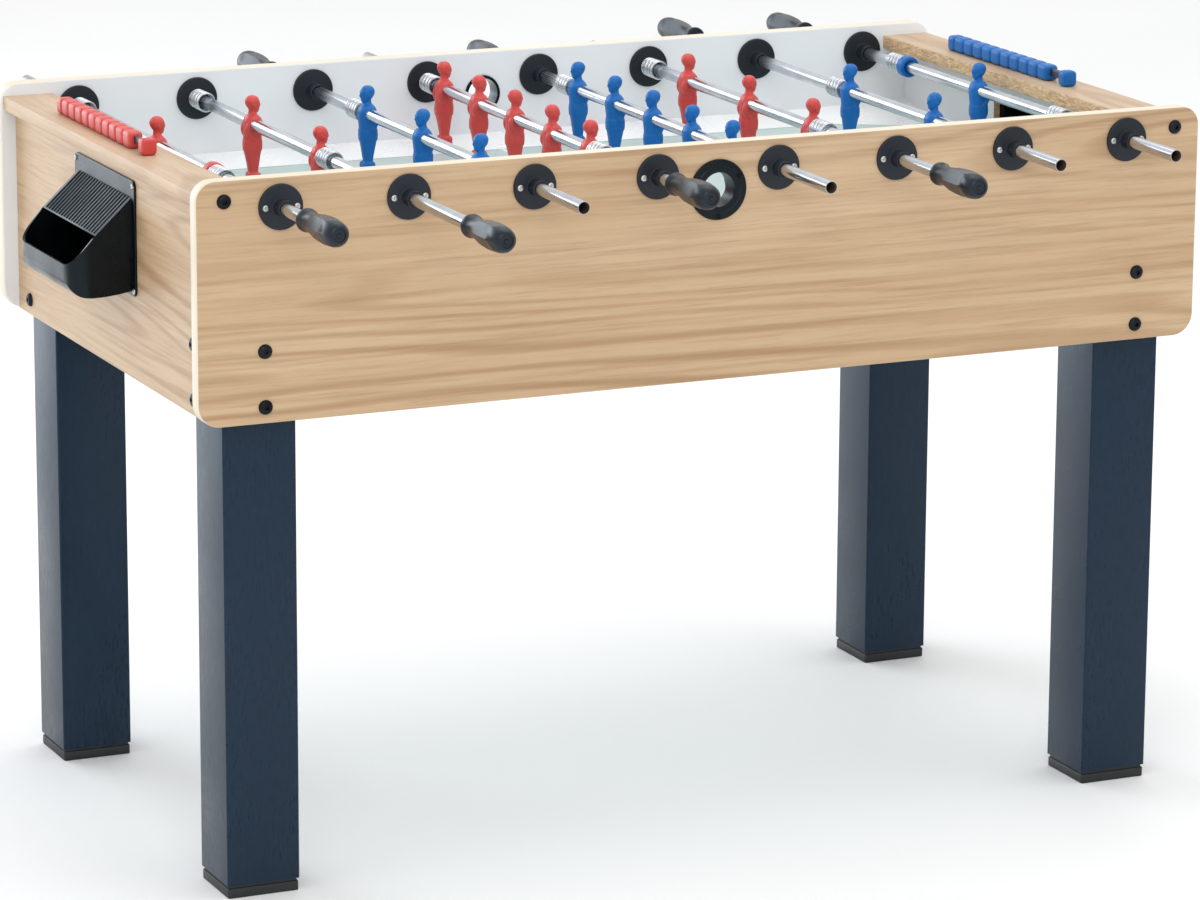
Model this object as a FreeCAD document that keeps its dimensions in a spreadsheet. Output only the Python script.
import FreeCAD, Part
import math
import os
import re

import Sketcher

# A free-standing foosball table: a wooden cabinet on four box legs, eight rods that slide and
# turn through the side walls, 22 figures, ball returns and bead scorers at both ends.
# Frame: +X along the table towards the blue goal, -Y towards the player who holds the red rods,
# +Z up. The origin is on the floor, at the centre of the four legs. Millimetres throughout.

V = FreeCAD.Vector
doc = FreeCAD.newDocument("FoosballTable")

# ------------------------------------------------------------------ driving dimensions
DIMENSIONS = [
    ("cabinet_length", 1360.0),       # side panels, end to end
    ("cabinet_width", 760.0),         # outer face to outer face of the side panels
    ("top_height", 896.0),            # floor to the top edge of the side panels
    ("panel_height", 298.0),
    ("side_thick", 22.0),
    ("end_thick", 18.0),
    ("end_setback", 20.0),            # end panel's outer face behind the side panels' ends
    ("corner_top", 24.0),             # corner radii of the side panels
    ("corner_low", 28.0),
    ("board_width", 68.0),            # flat top board that carries a scorer
    ("board_thick", 18.0),
    ("board_drop", 16.0),             # board's top below the side panels' top edge
    ("board_shy", 4.0),               # board's outer edge behind the side panels' ends
    ("board_bolt_hole", 30.0),        # depth of the blind bolt hole in each end of a board
    ("field_top", 774.0),
    ("field_thick", 9.0),
    ("ramp_width", 70.0),             # sloping strip along each side wall
    ("ramp_height", 11.0),
    ("ramp_edge", 1.0),
    ("ramp_corner", 150.0),           # length of the corner ramps along both walls
    ("ramp_peak", 15.0),
    ("batten_side", 20.0),
    ("leg_side", 94.0),
    ("leg_wall", 16.0),
    ("leg_rise", 130.0),              # how far a leg reaches up inside the cabinet
    ("foot_height", 16.0),
    ("foot_inset", 1.0),
    ("foot_round", 3.0),
    ("goal_half", 95.0),
    ("goal_lintel", 838.0),
    ("axis_height", 860.0),           # rod axes
    ("rod_pitch", 164.0),
    ("tube_radius", 8.0),
    ("tube_bore", 6.6),
    ("handle_length", 106.0),
    ("handle_socket", 60.0),
    ("bearing_clear", 0.06),
    ("flange_radius", 28.0),
    ("flange_thick", 4.0),
    ("neck_radius", 10.5),
    ("neck_length", 18.0),
    ("sleeve_radius", 12.0),
    ("spring_inner", 11.0),
    ("spring_outer", 13.0),
    ("spring_length", 36.0),
    ("figure_half", 13.0),            # half of a figure's width along its rod
    ("serve_height", 838.0),
    ("serve_ring", 38.0),
    ("serve_radius", 25.0),
    ("serve_bore", 21.5),
    ("serve_proud", 2.0),             # the throat past the inner face of the side panel
    ("bolt_low", 20.0),               # leg bolts above the cabinet's lower edge
    ("bolt_high", 88.0),
    ("bolt_hole", 4.25),
    ("corner_bolt_inset", 35.0),
    ("return_flange", 112.0),         # half width of a ball return's flange
    ("return_top", 849.0),
    ("return_base", 704.0),
    ("return_wall", 3.0),
    ("return_screw_side", 5.0),       # flange screws from its sides and from its top and bottom
    ("return_screw_end", 7.0),
    ("bead_pitch", 26.0),
    ("bead_wide", 20.0),
    ("bead_tall", 21.0),
    ("block_long", 18.0),
    ("scorer_gap", 32.0),
    ("scorer_near", -105.0),          # centre of the end block nearest the red player
    ("rail_wide", 6.0),               # flat rail that a scorer's beads slide on
    ("rail_tall", 10.0),
    ("rail_lift", 7.0),
]

sheet = doc.addObject("Spreadsheet::Sheet", "Dims")
for row, (alias, value) in enumerate(DIMENSIONS, start=1):
    sheet.set("A%d" % row, alias)
    sheet.set("B%d" % row, repr(value))
    sheet.setAlias("B%d" % row, alias)
doc.recompute()

dim = {alias: float(sheet.get(alias)) for alias, value in DIMENSIONS}
NAMES = re.compile(r"\b(" + "|".join(dim) + r")\b")

# Each rod: number, team, side of its handle (-1 is the red player's side), figures, spacing of
# the figures, reach of the tube from the rod's middle to its handle and to its bare end, and
# where the rod's middle rests along Y.
RODS = [
    {"number": 1, "team": "red", "side": -1, "figures": 1, "rest": 52.0},
    {"number": 2, "team": "red", "side": -1, "figures": 2, "rest": 29.0},
    {"number": 3, "team": "blue", "side": 1, "figures": 3, "rest": -27.0},
    {"number": 4, "team": "red", "side": -1, "figures": 5, "rest": 58.0},
    {"number": 5, "team": "blue", "side": 1, "figures": 5, "rest": -13.0},
    {"number": 6, "team": "red", "side": -1, "figures": 3, "rest": 41.0},
    {"number": 7, "team": "blue", "side": 1, "figures": 2, "rest": -50.0},
    {"number": 8, "team": "blue", "side": 1, "figures": 1, "rest": 14.0},
]
SPACING = {1: 0.0, 2: 240.0, 3: 188.0, 5: 119.0}
HANDLE_REACH = {1: 518.0, 2: 601.0, 3: 535.0, 5: 488.0}
TIP_REACH = {1: 520.0, 2: 456.0, 3: 500.0, 5: 513.0}
STOP_COLLAR = {"offset": 205.0, "radius": 14.5, "length": 16.0, "round": 4.0}
LOOSE_SPRING = {"rod": 8, "start": -226.0}     # this rod's second spring has slid off its bearing
FIT_GAP = 0.3                         # between pieces that move past each other

# Lines worked out from the driving dimensions.
END_X = "(cabinet_length/2 - end_setback)"                     # outer face of an end panel
INNER_X = "(cabinet_length/2 - end_setback - end_thick)"       # inner face of an end panel
INNER_Y = "(cabinet_width/2 - side_thick)"                     # inner face of a side panel
BASE_Z = "(top_height - panel_height)"
BOARD_Z = "(top_height - board_drop - board_thick)"
LEG_X = "(cabinet_length/2 - end_setback - end_thick - leg_side/2)"
LEG_Y = "(cabinet_width/2 - side_thick - leg_side/2)"


def cells(text):
    """The expression with each dimension's name pointing at its spreadsheet cell."""
    return NAMES.sub(r"Dims.\1", text)


def value(text):
    """The same expression as a number."""
    result = sheet.evalExpression(cells(text))
    return float(getattr(result, "Value", result))


def bind(thing, **properties):
    for name, text in properties.items():
        thing.setExpression(name.replace("__", "."), cells(text))


def place(thing, x="0", y="0", z="0"):
    bind(thing, Placement__Base__x=x, Placement__Base__y=y, Placement__Base__z=z)


def turn(thing, axis, angle):
    thing.Placement = FreeCAD.Placement(thing.Placement.Base, FreeCAD.Rotation(axis, angle))


def box(label, size, corner):
    made = doc.addObject("Part::Box", label)
    made.Label = label
    bind(made, Length=size[0], Width=size[1], Height=size[2])
    place(made, *corner)
    return made


def cylinder(label, radius, length, axis, start):
    """A cylinder along +X, +Y or +Z from its start point."""
    made = doc.addObject("Part::Cylinder", label)
    made.Label = label
    bind(made, Radius=radius, Height=length)
    if axis == "x":
        turn(made, V(0, 1, 0), 90)
    if axis == "y":
        turn(made, V(1, 0, 0), -90)
    place(made, *start)
    return made


def cut(label, base, tools):
    tool = tools[0]
    if len(tools) > 1:
        tool = doc.addObject("Part::Compound", label + "_tools")
        tool.Links = tools
    made = doc.addObject("Part::Cut", label)
    made.Label = label
    made.Base = base
    made.Tool = tool
    return made


def sleeve(label, outer, inner, length, start):
    """A round tube along +Y."""
    outside = cylinder(label + "_outside", outer, length, "y", start)
    inside = cylinder(label + "_inside", inner, length, "y", start)
    return cut(label, outside, [inside])


def group(label, shapes):
    made = doc.addObject("Part::Feature", label)
    made.Label = label
    made.Shape = Part.makeCompound(shapes)
    return made


def moved(shape, x, y, z, axis=None, angle=0.0):
    copy = shape.copy()
    rotation = FreeCAD.Rotation(axis, angle) if axis else FreeCAD.Rotation()
    copy.Placement = FreeCAD.Placement(V(x, y, z), rotation)
    return copy


# ------------------------------------------------------------------ sketches for bodies
def body(label):
    made = doc.addObject("PartDesign::Body", label)
    made.Label = label
    return made


def sketch_on(owner, role, name):
    drawing = owner.newObject("Sketcher::SketchObject", name)
    planes = [item for item in owner.Origin.OriginFeatures if item.Role == role]
    drawing.AttachmentSupport = (planes[0], [""])
    drawing.MapMode = "FlatFace"
    return drawing


def hold(drawing, kind, geometry, position, text):
    """Tie one coordinate of a point to an expression, measured from the sketch's origin."""
    number = value(text)
    if abs(number) < 1e-9:
        across = {"DistanceX": -2, "DistanceY": -1}[kind]
        drawing.addConstraint(Sketcher.Constraint("PointOnObject", geometry, position, across))
        return
    index = drawing.addConstraint(Sketcher.Constraint(kind, -1, 1, geometry, position, number))
    drawing.setExpression("Constraints[%d]" % index, cells(text))


def outline(drawing, points):
    """A closed outline of straight lines through points given as pairs of expressions."""
    spots = [V(value(u), value(v), 0) for u, v in points]
    first = drawing.GeometryCount
    count = len(points)
    for i in range(count):
        drawing.addGeometry(Part.LineSegment(spots[i], spots[(i + 1) % count]), False)
    for i in range(count):
        after = first + (i + 1) % count
        drawing.addConstraint(Sketcher.Constraint("Coincident", first + i, 2, after, 1))
    for i, (u, v) in enumerate(points):
        hold(drawing, "DistanceX", first + i, 1, u)
        hold(drawing, "DistanceY", first + i, 1, v)


def circle(drawing, u, v, radius):
    spot = V(value(u), value(v), 0)
    index = drawing.addGeometry(Part.Circle(spot, V(0, 0, 1), value(radius)), False)
    hold(drawing, "DistanceX", index, 3, u)
    hold(drawing, "DistanceY", index, 3, v)
    name = drawing.addConstraint(Sketcher.Constraint("Radius", index, value(radius)))
    drawing.setExpression("Constraints[%d]" % name, cells(radius))


def pad(owner, drawing, length, both_ways=False):
    feature = owner.newObject("PartDesign::Pad", drawing.Name + "_pad")
    feature.Profile = drawing
    bind(feature, Length=length)
    feature.Midplane = both_ways
    doc.recompute()
    return feature


def pocket(owner, drawing):
    """Cut the sketch through everything, both ways, and make sure that it took material away."""
    before = owner.Tip.Shape.Volume
    feature = owner.newObject("PartDesign::Pocket", drawing.Name + "_cut")
    feature.Profile = drawing
    feature.Type = "ThroughAll"
    feature.Midplane = True
    doc.recompute()
    if feature.Shape.Volume > before - 1.0:
        raise RuntimeError(drawing.Name + " cuts nothing")
    return feature


def revolve(owner, drawing):
    feature = owner.newObject("PartDesign::Revolution", drawing.Name + "_turned")
    feature.Profile = drawing
    feature.ReferenceAxis = (drawing, ["V_Axis"])
    feature.Angle = 360.0
    doc.recompute()
    return feature


def round_edges(owner, radius, chosen):
    feature = owner.newObject("PartDesign::Fillet", owner.Name + "_round_%d" % len(owner.Group))
    base = owner.Group[-2]
    edges = base.Shape.Edges
    names = ["Edge%d" % (i + 1) for i, edge in enumerate(edges) if chosen(edge)]
    feature.Base = (base, names)
    bind(feature, Radius=radius)
    doc.recompute()
    return feature


# ------------------------------------------------------------------ cabinet
ROD_X = ["rod_pitch*%.1f" % (rod["number"] - 4.5) for rod in RODS]
SIGNS = (-1, 1)


def side_panel(label, side):
    panel = body(label)
    drawing = sketch_on(panel, "XZ_Plane", label + "_face")
    left, right = "-cabinet_length/2", "cabinet_length/2"
    outline(drawing, [(left, BASE_Z), (right, BASE_Z), (right, "top_height"), (left, "top_height")])
    pad(panel, drawing, "side_thick", both_ways=True)

    def upright(edge, height):
        middle = edge.CenterOfMass
        along = abs(edge.tangentAt(edge.FirstParameter).y) > 0.99
        return along and abs(middle.z - height) < 1.0

    round_edges(panel, "corner_top", lambda edge: upright(edge, value("top_height")))
    round_edges(panel, "corner_low", lambda edge: upright(edge, value(BASE_Z)))
    holes = sketch_on(panel, "XZ_Plane", label + "_holes")
    for x in ROD_X:
        circle(holes, x, "axis_height", "sleeve_radius")
    circle(holes, "0", "serve_height", "serve_radius")
    for sign in ("-1", "1"):
        circle(holes, sign + "*" + LEG_X, BASE_Z + " + bolt_low", "bolt_hole")
        circle(holes, sign + "*" + LEG_X, BASE_Z + " + bolt_high", "bolt_hole")
        corner_x = sign + "*(cabinet_length/2 - corner_bolt_inset)"
        circle(holes, corner_x, BOARD_Z + " + board_thick/2", "bolt_hole")
    pocket(panel, holes)
    place(panel, y="%d*(cabinet_width/2 - side_thick/2)" % side)
    return panel


def end_panel(label, side):
    panel = body(label)
    drawing = sketch_on(panel, "YZ_Plane", label + "_face")
    near, far = "-" + INNER_Y, INNER_Y
    outline(drawing, [(near, BASE_Z), (far, BASE_Z), (far, BOARD_Z), (near, BOARD_Z)])
    pad(panel, drawing, "end_thick", both_ways=True)
    goal = sketch_on(panel, "YZ_Plane", label + "_goal")
    outline(goal, [("-goal_half", "field_top"), ("goal_half", "field_top"),
                   ("goal_half", "goal_lintel"), ("-goal_half", "goal_lintel")])
    pocket(panel, goal)
    holes = sketch_on(panel, "YZ_Plane", label + "_holes")
    for sign in ("-1", "1"):
        circle(holes, sign + "*" + LEG_Y, BASE_Z + " + bolt_low", "bolt_hole")
        circle(holes, sign + "*" + LEG_Y, BASE_Z + " + bolt_high", "bolt_hole")
    pocket(panel, holes)
    place(panel, x="%d*(cabinet_length/2 - end_setback - end_thick/2)" % side)
    return panel


def top_board(label, side):
    """The flat board over an end panel, with a blind bolt hole in each of its ends."""
    low = "(cabinet_length/2 - board_shy - board_width)" if side > 0 else "(board_shy - cabinet_length/2)"
    size = ("board_width", "2*" + INNER_Y, "board_thick")
    blank = box(label + "_blank", size, (low, "-" + INNER_Y, BOARD_Z))
    holes = []
    bolt_x = "%d*(cabinet_length/2 - corner_bolt_inset)" % side
    for sign in SIGNS:
        start = "-" + INNER_Y if sign < 0 else INNER_Y + " - board_bolt_hole"
        spot = (bolt_x, start, BOARD_Z + " + board_thick/2")
        name = "%s_hole_%d" % (label, sign + 1)
        holes.append(cylinder(name, "bolt_hole", "board_bolt_hole", "y", spot))
    return cut(label, blank, holes)


def leg(label, side_x, side_y):
    """A hollow square leg with bolt holes through the two walls that meet the cabinet."""
    low_x = "%d*%s - leg_side/2" % (side_x, LEG_X)
    low_y = "%d*%s - leg_side/2" % (side_y, LEG_Y)
    tall = BASE_Z + " + leg_rise - foot_height"
    blank = box(label + "_blank", ("leg_side", "leg_side", tall), (low_x, low_y, "foot_height"))
    hollow_side = "leg_side - 2*leg_wall"
    corner = (low_x + " + leg_wall", low_y + " + leg_wall", "foot_height")
    tools = [box(label + "_hollow", (hollow_side, hollow_side, tall), corner)]
    for name, height in (("low", "bolt_low"), ("high", "bolt_high")):
        z = BASE_Z + " + " + height
        wall_x = low_x if side_x < 0 else low_x + " + leg_side - leg_wall"
        wall_y = low_y if side_y < 0 else low_y + " + leg_side - leg_wall"
        middle_x = "%d*%s" % (side_x, LEG_X)
        middle_y = "%d*%s" % (side_y, LEG_Y)
        through = [("x", (wall_x, middle_y, z)), ("y", (middle_x, wall_y, z))]
        for axis, start in through:
            hole = "%s_%s_%s" % (label, name, axis)
            tools.append(cylinder(hole, "bolt_hole", "leg_wall", axis, start))
    return cut(label, blank, tools)


def feet():
    side = value("leg_side - 2*foot_inset")
    tall = dim["foot_height"]
    block = Part.makeBox(side, side, tall, V(-side / 2, -side / 2, 0))
    corners = [edge for edge in block.Edges if abs(edge.tangentAt(edge.FirstParameter).z) > 0.99]
    block = block.makeFillet(dim["foot_round"], corners)
    x, y = value(LEG_X), value(LEG_Y)
    return group("leg_feet", [moved(block, i * x, j * y, 0) for i in SIGNS for j in SIGNS])


def battens():
    """Strips that carry the playfield: one along each side panel and each end panel."""
    side = dim["batten_side"]
    x, y = value(INNER_X), value(INNER_Y)
    low = value("field_top - field_thick - batten_side")
    strips = []
    for sign in SIGNS:
        start_y = -y if sign < 0 else y - side
        strips.append(Part.makeBox(2 * x, side, side, V(-x, start_y, low)))
        start_x = -x if sign < 0 else x - side
        strips.append(Part.makeBox(side, 2 * (y - side), side, V(start_x, side - y, low)))
    return group("field_battens", strips)


def solid_from(corners, faces):
    """A closed solid from its corners and the corner numbers of each flat face."""
    sides = []
    for face in faces:
        ring = [corners[i] for i in face]
        sides.append(Part.Face(Part.makePolygon(ring + ring[:1])))
    made = Part.makeSolid(Part.makeShell(sides))
    if made.Volume < 0:
        made.reverse()
    return made


def edge_ramps():
    """White strips that slope up to the side walls, and a higher ramp in each corner."""
    x, y = value(INNER_X), value(INNER_Y)
    corner, wide = dim["ramp_corner"], dim["ramp_width"]
    floor = dim["field_top"]
    thin, high, peak = (floor + dim[name] for name in ("ramp_edge", "ramp_height", "ramp_peak"))
    pieces = []
    for j in SIGNS:
        profile = [(y, floor), (y, high), (y - wide, thin), (y - wide, floor)]
        ring = [V(0, j * v, z) for v, z in profile]
        face = Part.Face(Part.makePolygon(ring + ring[:1]))
        face.translate(V(corner - x, 0, 0))
        pieces.append(face.extrude(V(2 * (x - corner), 0, 0)))
        for i in SIGNS:
            plan = [(x, y), (x - corner, y), (x - corner, y - wide), (x, y - corner)]
            low = [V(i * u, j * v, floor) for u, v in plan]
            top = [V(i * u, j * v, z) for (u, v), z in zip(plan, (peak, high, thin, thin))]
            faces = [(3, 2, 1, 0), (4, 5, 6), (4, 6, 7)]
            faces += [(k, (k + 1) % 4, 4 + (k + 1) % 4, 4 + k) for k in range(4)]
            pieces.append(solid_from(low + top, faces))
    return group("field_edge_ramps", pieces)


# ------------------------------------------------------------------ fasteners
BOLT = {"head": 9.0, "tall": 4.5, "round": 3.0, "socket": 3.0, "socket_floor": 2.0, "shank": 4.0}
NUT = {"radius": 7.5, "tall": 6.5}
THREAD_OUT = 9.0                      # how far a bolt reaches past what it clamps
BOARD_BITE = 26.0                     # how far a corner bolt goes into the top board
BEARING_SCREW = {"head": 4.0, "shank": 2.0, "length": 16.0, "offset": 20.0}
CUP_SCREW = {"head": 3.4, "shank": 1.8, "length": 14.0, "circle": 34.0}
RETURN_SCREW = {"head": 3.6, "shank": 2.0, "length": 14.0, "hole": "2.1"}
SCREW_HEAD = {"tall": 2.0, "slot": 0.8, "slot_floor": 1.0, "slot_share": 1.1}


def bolt(shank):
    """Button-head bolt with a hexagon socket; the head's flat face is at z = 0, shank downwards."""
    head = Part.makeCylinder(BOLT["head"], BOLT["tall"])
    rim = [edge for edge in head.Edges if edge.Closed and edge.CenterOfMass.z > BOLT["tall"] / 2]
    head = head.makeFillet(BOLT["round"], rim)
    socket = hex_prism(BOLT["socket"], BOLT["tall"], BOLT["socket_floor"])
    stem = Part.makeCylinder(BOLT["shank"], shank, V(0, 0, -shank))
    return head.cut(socket).fuse(stem).removeSplitter()


def hex_prism(radius, height, start):
    angles = [math.radians(60 * k) for k in range(7)]
    ring = [V(radius * math.cos(a), radius * math.sin(a), start) for a in angles]
    return Part.Face(Part.makePolygon(ring)).extrude(V(0, 0, height))


def bolt_places():
    """Every bolt as a point on the cabinet's face, the turn that sets it outwards, and its kind."""
    places = []
    heights = [value(BASE_Z + " + " + name) for name in ("bolt_low", "bolt_high")]
    x, y = value(LEG_X), value(LEG_Y)
    corner_x = value("cabinet_length/2 - corner_bolt_inset")
    for j in SIGNS:
        face_y = j * dim["cabinet_width"] / 2
        for i in SIGNS:
            places += [(V(i * x, face_y, z), V(1, 0, 0), -90 * j, "side") for z in heights]
            corner = V(i * corner_x, face_y, value(BOARD_Z + " + board_thick/2"))
            places.append((corner, V(1, 0, 0), -90 * j, "corner"))
            face_x = i * value(END_X)
            places += [(V(face_x, j * y, z), V(0, 1, 0), 90 * i, "end") for z in heights]
    return places


def fasteners():
    clamped = {"side": value("side_thick + leg_wall"), "end": value("end_thick + leg_wall")}
    reach = {kind: depth + THREAD_OUT for kind, depth in clamped.items()}
    reach["corner"] = dim["side_thick"] + BOARD_BITE
    patterns = {kind: bolt(length) for kind, length in reach.items()}
    nut = hex_prism(NUT["radius"], NUT["tall"], 0)
    nut = nut.cut(Part.makeCylinder(BOLT["shank"], NUT["tall"]))
    bolts, nuts = [], []
    for spot, axis, angle, kind in bolt_places():
        bolts.append(moved(patterns[kind], spot.x, spot.y, spot.z, axis, angle))
        if kind != "corner":
            inward = FreeCAD.Rotation(axis, angle).multVec(V(0, 0, -1))
            seat = spot + inward * (clamped[kind] + NUT["tall"])
            nuts.append(moved(nut, seat.x, seat.y, seat.z, axis, angle))
    group("panel_bolts", bolts)
    group("bolt_nuts", nuts)


def screw(kind):
    """Pan-head screw with a cross recess; the head's flat face is at z = 0, shank downwards."""
    head, tall = kind["head"], SCREW_HEAD["tall"]
    long, slot = head * SCREW_HEAD["slot_share"], SCREW_HEAD["slot"]
    recess = Part.makeBox(long, slot, tall, V(-long / 2, -slot / 2, SCREW_HEAD["slot_floor"]))
    cross = recess.fuse(moved(recess, 0, 0, 0, V(0, 0, 1), 90))
    stem = Part.makeCylinder(kind["shank"], kind["length"], V(0, 0, -kind["length"]))
    return Part.makeCylinder(head, tall).cut(cross).fuse(stem)


# ------------------------------------------------------------------ rod bearings and serve cups
def turned_body(label, points):
    """A ring turned about Y from an outline of (radius, distance along Y) pairs."""
    made = body(label)
    drawing = sketch_on(made, "XY_Plane", label + "_profile")
    outline(drawing, points)
    revolve(made, drawing)
    return made


def bearings():
    """Two halves per hole, each a flange, a neck and a sleeve in the wall. Returns their screws."""
    bore = "(tube_radius + bearing_clear)"
    nose = "(-flange_thick - neck_length)"
    half = turned_body("bearing_half", [
        (bore, nose), ("neck_radius", nose), ("neck_radius", "-flange_thick"),
        ("flange_radius", "-flange_thick"), ("flange_radius", "0"), ("sleeve_radius", "0"),
        ("sleeve_radius", "side_thick/2"), (bore, "side_thick/2")])
    offset = BEARING_SCREW["offset"]
    plain = half.Shape.copy()
    drilled = plain.copy()
    deep = 2 * dim["flange_thick"]
    for i in SIGNS:
        start = V(i * offset, -deep, 0)
        drilled = drilled.cut(Part.makeCylinder(BEARING_SCREW["shank"], deep, start, V(0, 1, 0)))
    fixing = screw(BEARING_SCREW)
    z = dim["axis_height"]
    wall = dim["cabinet_width"] / 2
    inner = value(INNER_Y)
    halves, screws = [], []
    for text in ROD_X:
        x = value(text)
        for j in SIGNS:
            outward = 0 if j < 0 else 180
            halves.append(moved(drilled, x, j * wall, z, V(0, 0, 1), outward))
            halves.append(moved(plain, x, j * inner, z, V(0, 0, 1), 180 - outward))
            for i in SIGNS:
                seat = j * (wall + dim["flange_thick"])
                screws.append(moved(fixing, x + i * offset, seat, z, V(1, 0, 0), -90 * j))
    group("rod_bearings", halves)
    return screws


def serve_cups():
    """Ring and throat that the ball is dropped through, one in each side panel."""
    face, inside = "-flange_thick", "side_thick + serve_proud"
    cup = turned_body("serve_cup", [
        ("serve_bore", face), ("serve_ring", face), ("serve_ring", "0"), ("serve_radius", "0"),
        ("serve_radius", inside), ("serve_bore", inside)])
    z = dim["serve_height"]
    wall = dim["cabinet_width"] / 2
    drilled = cup.Shape.copy()
    angles = [math.radians(a) for a in (30, 150, 270)]
    spots = [(CUP_SCREW["circle"] * math.cos(a), CUP_SCREW["circle"] * math.sin(a)) for a in angles]
    deep = 2 * dim["flange_thick"]
    for u, w in spots:
        drilled = drilled.cut(Part.makeCylinder(CUP_SCREW["shank"], deep, V(u, -deep, w), V(0, 1, 0)))
    fixing = screw(CUP_SCREW)
    seat = wall + dim["flange_thick"]
    cups, screws = [], []
    for j in SIGNS:
        cups.append(moved(drilled, 0, j * wall, z, V(0, 0, 1), 0 if j < 0 else 180))
        screws += [moved(fixing, -j * u, j * seat, z + w, V(1, 0, 0), -90 * j) for u, w in spots]
    group("serve_cups", cups)
    group("serve_cup_screws", screws)


# ------------------------------------------------------------------ ball returns
# The box outwards from the end panel. Side view (out, up): back, belly, lip, mouth and hood.
RETURN_SIDE = [(0, 830), (0, 711), (30, 706), (60, 705), (74, 709), (84, 722), (84, 746), (50, 783)]
RETURN_SIDE_OPEN = (0, 6)             # the back and the mouth have no wall
# Plan (out, along Y): back, side, two flats round each corner of the lip, front, and the other side.
RETURN_PLAN = [(0, 101), (0, -101), (62, -101), (77, -94), (84, -78), (84, 78), (77, 94), (62, 101)]
RETURN_PLAN_OPEN = (0, 4)
OPEN_REACH = 20.0


def inset(points, wall, open_sides):
    """The outline moved inwards by the wall, or outwards past each side that has no wall."""
    lines = []
    for i, (u, v) in enumerate(points):
        next_u, next_v = points[(i + 1) % len(points)]
        length = math.hypot(next_u - u, next_v - v)
        along = ((next_u - u) / length, (next_v - v) / length)
        shift = -OPEN_REACH if i in open_sides else wall
        lines.append((u - along[1] * shift, v + along[0] * shift, along))
    moved_points = []
    for i, (u, v, along) in enumerate(lines):
        before_u, before_v, before = lines[i - 1]
        cross = before[0] * along[1] - before[1] * along[0]
        travel = ((u - before_u) * along[1] - (v - before_v) * along[0]) / cross
        moved_points.append((before_u + before[0] * travel, before_v + before[1] * travel))
    return moved_points


def prism(label, role, points, length):
    made = body(label)
    drawing = sketch_on(made, role, label + "_face")
    outline(drawing, [("%.6f" % u, "%.6f" % v) for u, v in points])
    pad(made, drawing, length, both_ways=True)
    return made


def return_solid(label, side_points, plan_points):
    """The part of space inside both the side view and the plan."""
    tall = "2*top_height"
    both = doc.addObject("Part::Common", label)
    both.Base = prism(label + "_side", "XZ_Plane", side_points, "cabinet_width")
    both.Tool = prism(label + "_plan", "XY_Plane", plan_points, tall)
    return both


def ball_return(label, side):
    """Hollow plastic box with an open mouth, a hole to the goal and a flange that is screwed on."""
    wall = dim["return_wall"]
    outer = return_solid(label + "_outer", RETURN_SIDE, RETURN_PLAN)
    hollow_side = inset(RETURN_SIDE, wall, RETURN_SIDE_OPEN)
    hollow_plan = inset(RETURN_PLAN, wall, RETURN_PLAN_OPEN)
    hollow = return_solid(label + "_hollow", hollow_side, hollow_plan)
    plate = body(label + "_plate")
    drawing = sketch_on(plate, "YZ_Plane", label + "_flange")
    outline(drawing, [("-return_flange", "return_base"), ("return_flange", "return_base"),
                      ("return_flange", "return_top"), ("-return_flange", "return_top")])
    pad(plate, drawing, "return_wall")
    holes = sketch_on(plate, "YZ_Plane", label + "_screw_holes")
    for u, v in return_screw_spots():
        circle(holes, "%g" % u, "%g" % v, RETURN_SCREW["hole"])
    pocket(plate, holes)
    whole = doc.addObject("Part::Fuse", label + "_whole")
    whole.Base = plate
    whole.Tool = outer
    made = cut(label, whole, [hollow])
    if side < 0:
        turn(made, V(0, 0, 1), 180)
    place(made, x="%d*%s" % (side, END_X))
    return made


def return_screw_spots():
    y = value("return_flange - return_screw_side")
    heights = value("return_base + return_screw_end"), value("return_top - return_screw_end")
    return [(i * y, z) for i in SIGNS for z in heights]


def return_screws():
    fixing = screw(RETURN_SCREW)
    seat = value(END_X) + dim["return_wall"]
    made = []
    for i in SIGNS:
        made += [moved(fixing, i * seat, y, z, V(0, 1, 0), 90 * i) for y, z in return_screw_spots()]
    return made


# ------------------------------------------------------------------ scorers
BEADS = 10
BEAD_GAP = 0.4                        # round the rail and under each bead
BEAD_SPLIT = 0.2                      # between beads that touch in use
BEAD_ROUND = 3.5
BLOCK_ROUND = 3.0


def scorer(color, side):
    """Ten beads on a rail between two end blocks; the beads are pushed along to count goals."""
    x = side * value("cabinet_length/2 - board_shy - board_width/2")
    top = value("top_height - board_drop")
    wide, tall, pitch = dim["bead_wide"], dim["bead_tall"], dim["bead_pitch"]
    long, gap, near = dim["block_long"], dim["scorer_gap"], dim["scorer_near"]
    first = near + long / 2 + gap
    far = first + BEADS * pitch

    def rail(spread):
        across, upright = dim["rail_wide"] + 2 * spread, dim["rail_tall"] + 2 * spread
        corner = V(x - across / 2, near, top + dim["rail_lift"] - spread)
        return Part.makeBox(across, far - near, upright, corner)

    def rounded(start, length, radius, floor):
        block = Part.makeBox(wide, length, tall - floor, V(x - wide / 2, start, top + floor))
        return block.makeFillet(radius, block.Edges)

    hole = rail(BEAD_GAP)
    starts = [first + k * pitch + BEAD_SPLIT / 2 for k in range(BEADS)]
    beads = [rounded(start, pitch - BEAD_SPLIT, BEAD_ROUND, BEAD_GAP).cut(hole) for start in starts]
    bar = rail(0.0)
    blocks = [rounded(start, long, BLOCK_ROUND, 0.0).cut(bar) for start in (near - long / 2, far)]
    group("scorer_beads_" + color, beads)
    group("scorer_blocks_" + color, blocks)
    return bar


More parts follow.
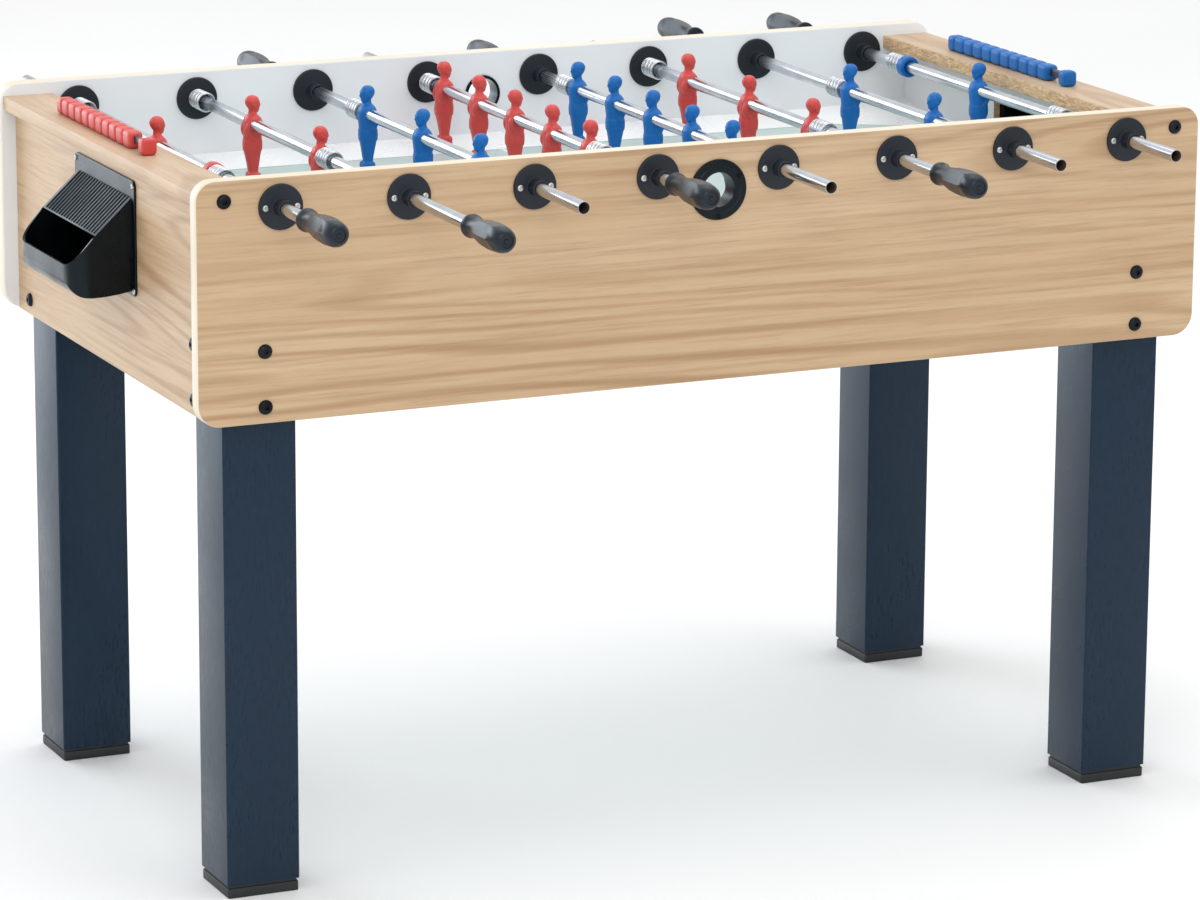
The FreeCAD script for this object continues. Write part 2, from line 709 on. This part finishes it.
# ------------------------------------------------------------------ rods
# A figure's sections from the ankles to the neck: height from the rod's axis, half depth,
# half width along the rod, and how far the section is set forward.
FIGURE_SECTIONS = [
    (-66.0, 6.0, 6.6, 0.0),
    (-53.0, 7.6, 7.7, 0.0),
    (-37.0, 9.7, 9.9, -0.4),
    (-26.0, 11.4, 11.6, -0.4),
    (-10.0, 11.9, 12.1, 0.0),
    (1.0, 12.2, 13.0, 0.5),
    (9.5, 8.4, 10.0, 0.2),
    (13.0, 5.0, 5.6, 0.0),
]
HEAD = {"height": 25.0, "tall": 12.5, "round": 9.6}
FOOT = {"low": -74.0, "high": -63.5, "heel": 7.5, "toe": 9.0, "half": 10.5, "chamfer": 1.2}
HUB_WALL = 3.0


def ellipse_wire(height, depth, width, forward):
    big, small = (width, depth) if width > depth else (depth, width)
    curve = Part.Ellipse(V(0, 0, 0), big, small)
    wire = Part.Wire(curve.toShape())
    angle = 90 if width > depth else 0
    wire.Placement = FreeCAD.Placement(V(forward, 0, height), FreeCAD.Rotation(V(0, 0, 1), angle))
    return wire


def figure():
    """One moulded figure that faces +X, with its bore along Y at the origin."""
    trunk = Part.makeLoft([ellipse_wire(*section) for section in FIGURE_SECTIONS], True, False)
    ball = Part.makeSphere(1.0)
    stretch = FreeCAD.Matrix()
    stretch.scale(HEAD["round"], HEAD["round"], HEAD["tall"])
    ball = ball.transformGeometry(stretch)
    ball.translate(V(0, 0, HEAD["height"]))
    depth = FOOT["heel"] + FOOT["toe"]
    corner = V(-FOOT["heel"], -FOOT["half"], FOOT["low"])
    shoe = Part.makeBox(depth, 2 * FOOT["half"], FOOT["high"] - FOOT["low"], corner)
    shoe = shoe.makeChamfer(FOOT["chamfer"], shoe.Edges)
    half = dim["figure_half"]
    hub = Part.makeCylinder(dim["tube_radius"] + HUB_WALL, 2 * half, V(0, -half, 0), V(0, 1, 0))
    bore = Part.makeCylinder(dim["tube_radius"], 4 * half, V(0, -2 * half, 0), V(0, 1, 0))
    return trunk.fuse([ball, shoe, hub]).cut(bore)


def stop_collar():
    """Round plastic collar that stops a goalkeeper's rod, with its bore along Y."""
    length = STOP_COLLAR["length"]
    ring = Part.makeCylinder(STOP_COLLAR["radius"], length, V(0, -length / 2, 0), V(0, 1, 0))
    ring = ring.makeFillet(STOP_COLLAR["round"], [edge for edge in ring.Edges if edge.Closed])
    return ring.cut(Part.makeCylinder(dim["tube_radius"], 2 * length, V(0, -length, 0), V(0, 1, 0)))


def handle(label):
    """Grip turned about Y: collar, waist, swelling body and a domed end, with a blind socket."""
    socket = "tube_radius"
    return turned_body(label, [
        (socket, "0"), ("13.6", "0"), ("14.6", "1.5"), ("14.6", "7"), ("13", "9.5"), ("12", "14"),
        ("12.3", "24"), ("14.2", "40"), ("16", "58"), ("16.4", "80"), ("15.8", "94"), ("13", "102"),
        ("8", "handle_length - 1"), ("0", "handle_length"), ("0", "handle_socket"),
        (socket, "handle_socket")])


def spring_sleeve():
    """The space that a coil spring takes up, as a sleeve along Y."""
    ring = Part.makeCylinder(dim["spring_outer"], dim["spring_length"], V(0, 0, 0), V(0, 1, 0))
    return ring.cut(Part.makeCylinder(dim["spring_inner"], dim["spring_length"], V(0, 0, 0), V(0, 1, 0)))


def figure_places(rod):
    count = rod["figures"]
    return [rod["rest"] + SPACING[count] * (k - (count - 1) / 2) for k in range(count)]


def build_rod(rod, shapes):
    """Tube, figures, grip and travelling spring of one rod, each in a node of its own."""
    name = "rod_%d" % rod["number"]
    x = ROD_X[rod["number"] - 1]
    side, count, rest = rod["side"], rod["figures"], rod["rest"]
    handle_y = rest + side * HANDLE_REACH[count]
    tip_y = rest - side * TIP_REACH[count]
    inside = handle_y + side * dim["handle_socket"]
    low, high = sorted((tip_y, inside))
    sleeve(name + "_tube", "tube_radius", "tube_bore", "%g" % (high - low), (x, "%g" % low, "axis_height"))
    grip = handle(name + "_handle")
    if side < 0:
        turn(grip, V(0, 0, 1), 180)
    place(grip, x, "%g" % handle_y, "axis_height")
    position, z = value(x), dim["axis_height"]
    facing = 0 if rod["team"] == "red" else 180
    solids = [moved(shapes["figure"], position, y, z, V(0, 0, 1), facing) for y in figure_places(rod)]
    outer = rest + side * (SPACING[count] * (count - 1) / 2)
    stop = side * dim["figure_half"]
    if count == 1:
        collar_y = rest + side * STOP_COLLAR["offset"]
        solids.append(moved(shapes["collar"], position, collar_y, z))
        outer, stop = collar_y, side * STOP_COLLAR["length"] / 2
    group(name + "_players", solids)
    start = outer + stop + side * FIT_GAP
    if side < 0:
        start -= dim["spring_length"]
    coil = spring_sleeve()
    springs = [moved(coil, position, start, z)]
    wall_start = value(INNER_Y + " - flange_thick - spring_length")
    if side > 0:
        wall_start = -value(INNER_Y + " - flange_thick")
    wall_spring = moved(coil, position, wall_start, z)
    if rod["number"] == LOOSE_SPRING["rod"]:
        springs.append(moved(coil, position, LOOSE_SPRING["start"], z))
        wall_spring = None
    group(name + "_spring", springs)
    return wall_spring


# ------------------------------------------------------------------ the whole table
for side, name in ((-1, "front"), (1, "back")):
    side_panel("side_panel_" + name, side)
for side, name in ((-1, "left"), (1, "right")):
    end_panel("end_panel_" + name, side)
    top_board("top_board_" + name, side)
    ball_return("ball_return_" + name, side)
    for side_y, name_y in ((-1, "front"), (1, "back")):
        leg("leg_%s_%s" % (name_y, name), side, side_y)
feet()
box("playfield", ("2*" + INNER_X, "2*" + INNER_Y, "field_thick"),
    ("-" + INNER_X, "-" + INNER_Y, "field_top - field_thick"))
battens()
edge_ramps()
fasteners()
group("zinc_screws", bearings() + return_screws())
serve_cups()
group("scorer_bars", [scorer("red", -1), scorer("blue", 1)])
doc.recompute()
pattern = {"figure": figure(), "collar": stop_collar()}
resting = [build_rod(rod, pattern) for rod in RODS]
group("wall_springs", [shape for shape in resting if shape])
doc.recompute()

# ------------------------------------------------------------------ checks and export
NODES = ["side_panel_front", "side_panel_back", "end_panel_left", "end_panel_right", "top_board_left",
         "top_board_right", "ball_return_left", "ball_return_right", "leg_front_left", "leg_front_right",
         "leg_back_left", "leg_back_right", "leg_feet", "playfield", "field_battens", "field_edge_ramps",
         "panel_bolts", "bolt_nuts", "rod_bearings", "zinc_screws", "serve_cups", "serve_cup_screws",
         "scorer_bars", "scorer_beads_red", "scorer_beads_blue", "scorer_blocks_red", "scorer_blocks_blue",
         "wall_springs"]
for rod in RODS:
    NODES += ["rod_%d_%s" % (rod["number"], piece) for piece in ("tube", "players", "handle", "spring")]

for item in doc.Objects:
    if "Invalid" in item.State or "Error" in item.State:
        raise RuntimeError("%s failed: %s" % (item.Label, item.State))
os.makedirs("parts", exist_ok=True)
for node in NODES:
    shape = doc.getObjectsByLabel(node)[0].Shape
    if shape.isNull() or not shape.isValid() or shape.Volume <= 0 or not shape.Solids:
        raise RuntimeError(node + " is not a valid solid")
for node in NODES:
    doc.getObjectsByLabel(node)[0].Shape.exportStep("parts/%s.step" % node)
solids = [len(doc.getObjectsByLabel(node)[0].Shape.Solids) for node in NODES]
print("%d nodes, %d solids" % (len(NODES), sum(solids)))
